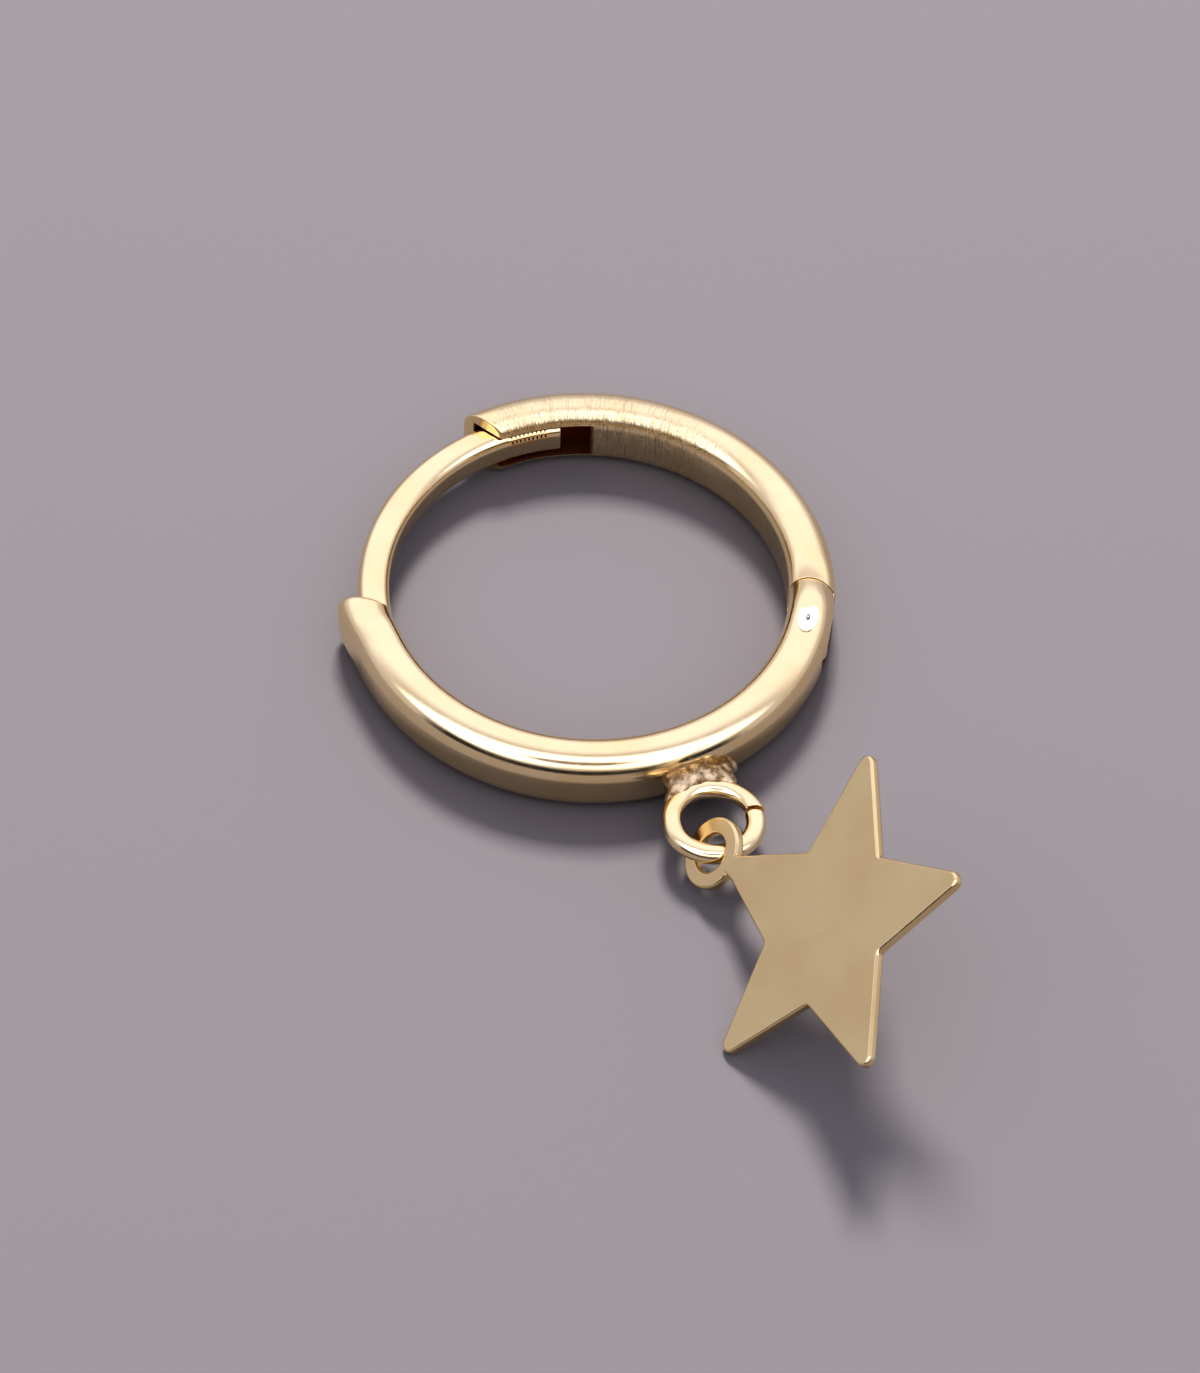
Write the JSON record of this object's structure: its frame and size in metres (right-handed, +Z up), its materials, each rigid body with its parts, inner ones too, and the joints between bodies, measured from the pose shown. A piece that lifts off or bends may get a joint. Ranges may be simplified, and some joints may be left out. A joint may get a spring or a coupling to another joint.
{
  "type": "hinged hoop earring with star charm",
  "caption": "Small hinged hoop earring lying on its side, with a curved ear post that snaps into the back arm and a flat star charm on a soldered jump ring.",
  "frame": {"origin": "centre of the hoop, on the surface that it lies on", "axes": "+Z up along the hoop's own axis, +X to the right and +Y away from the viewer as it lies, with the star charm towards -Y"},
  "size_m": [0.0154, 0.0216, 0.0061],
  "materials": {
    "front_gold": "polished pale yellow gold",
    "arm_gold": "polished pale yellow gold with fine brushed edges",
    "pin_gold": "bright polished pale gold",
    "star_gold": "satin pale yellow gold"
  },
  "bodies": {
    "front": {"front_hoop": "front_gold", "hinge_pin": "pin_gold", "star_charm": "star_gold"},
    "arm": {"back_arm": "arm_gold"}
  },
  "joints": [
    {"name": "arm_hinge", "type": "hinge", "parent": "front", "child": "arm", "pos_m": [0.00555, -0.00113, 0.00093], "axis": [0, 0, -1], "range_deg": [0, 65]}
  ]
}
